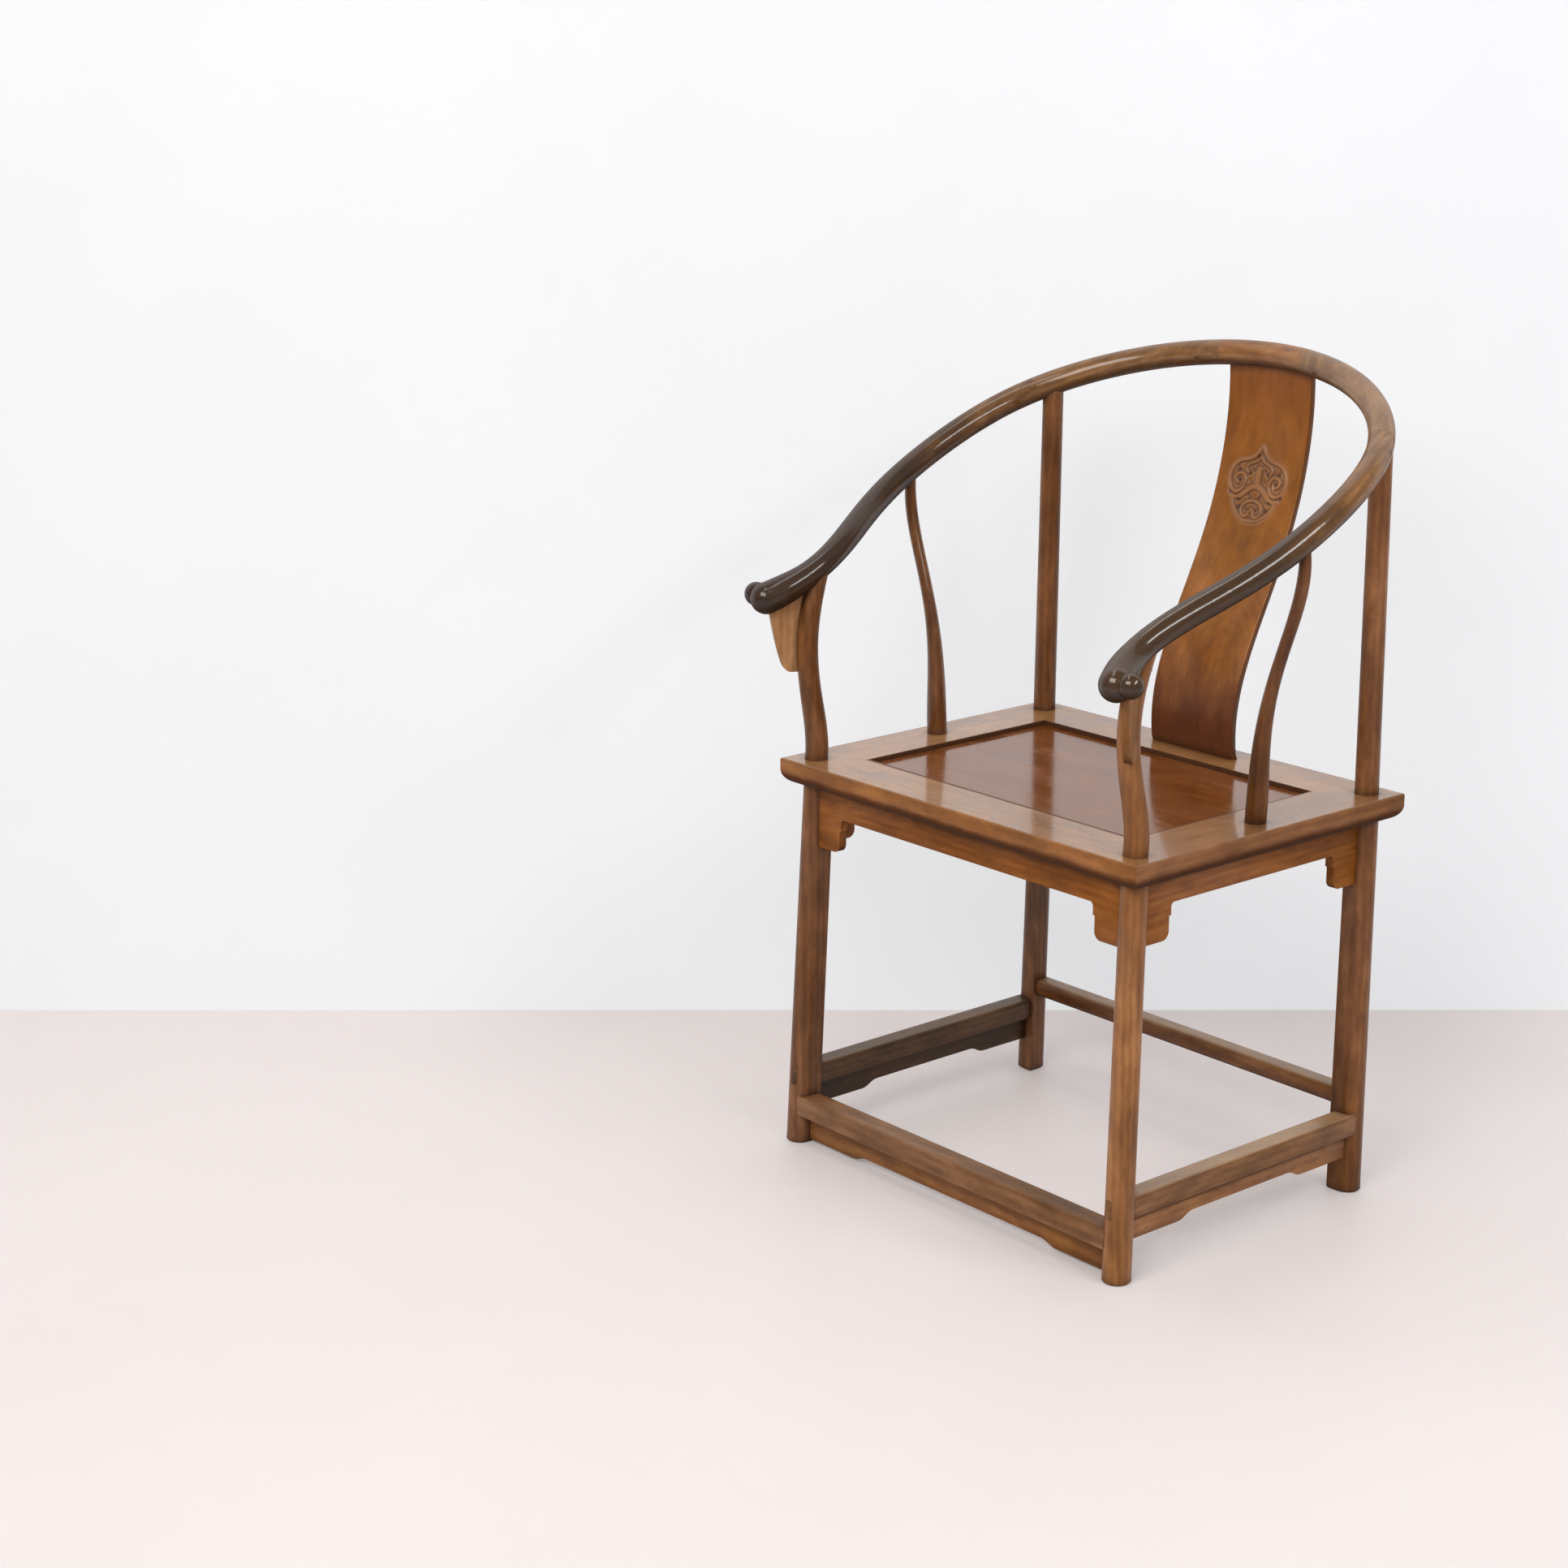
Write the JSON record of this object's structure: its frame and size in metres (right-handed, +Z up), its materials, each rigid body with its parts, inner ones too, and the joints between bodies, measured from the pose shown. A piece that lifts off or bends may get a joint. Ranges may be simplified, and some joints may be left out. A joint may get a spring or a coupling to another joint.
{
  "type": "horseshoe back armchair",
  "caption": "Wooden armchair whose crest rail sweeps down in one curve from the back into outturned arms, with a curved back splat, a framed panel seat, shaped aprons and stepped stretchers.",
  "frame": {"origin": "on the floor, under the middle of the chair's bounding box", "axes": "+X towards the side that the node names call right, as seen from in front; +Y towards the back, so the sitter faces -Y; +Z up"},
  "size_m": [0.6712, 0.5962, 0.9965],
  "materials": {
    "crest_rail": "satin",
    "arms": "satin",
    "pins": "satin",
    "front_legs": "satin",
    "rear_legs": "satin",
    "side_posts": "satin",
    "splat": "satin",
    "brackets": "satin",
    "seat_frame": "satin",
    "seat_panel": "satin",
    "battens": "satin",
    "aprons": "satin",
    "footrest": "satin",
    "stretchers": "satin",
    "lower_aprons": "satin"
  },
  "bodies": {
    "root": {"crest_rail_centre": "crest_rail", "crest_rail_shoulder_right": "crest_rail", "crest_rail_shoulder_left": "crest_rail", "arm_right": "arms", "arm_left": "arms", "back_scarf_pin_right": "pins", "back_scarf_pin_left": "pins", "arm_scarf_pin_right": "pins", "arm_scarf_pin_left": "pins", "front_leg_right": "front_legs", "front_leg_left": "front_legs", "rear_leg_right": "rear_legs", "rear_leg_left": "rear_legs", "side_post_right": "side_posts", "side_post_left": "side_posts", "back_splat": "splat", "arm_bracket_right": "brackets", "arm_bracket_left": "brackets", "seat_rail_front": "seat_frame", "seat_rail_back": "seat_frame", "seat_rail_right": "seat_frame", "seat_rail_left": "seat_frame", "seat_panel": "seat_panel", "panel_batten_right": "battens", "panel_batten_left": "battens", "apron_front": "aprons", "apron_back": "aprons", "apron_right": "aprons", "apron_left": "aprons", "footrest": "footrest", "side_stretcher_right": "stretchers", "side_stretcher_left": "stretchers", "rear_stretcher": "stretchers", "footrest_apron": "lower_aprons", "side_stretcher_apron_right": "lower_aprons", "side_stretcher_apron_left": "lower_aprons"}
  },
  "joints": []
}
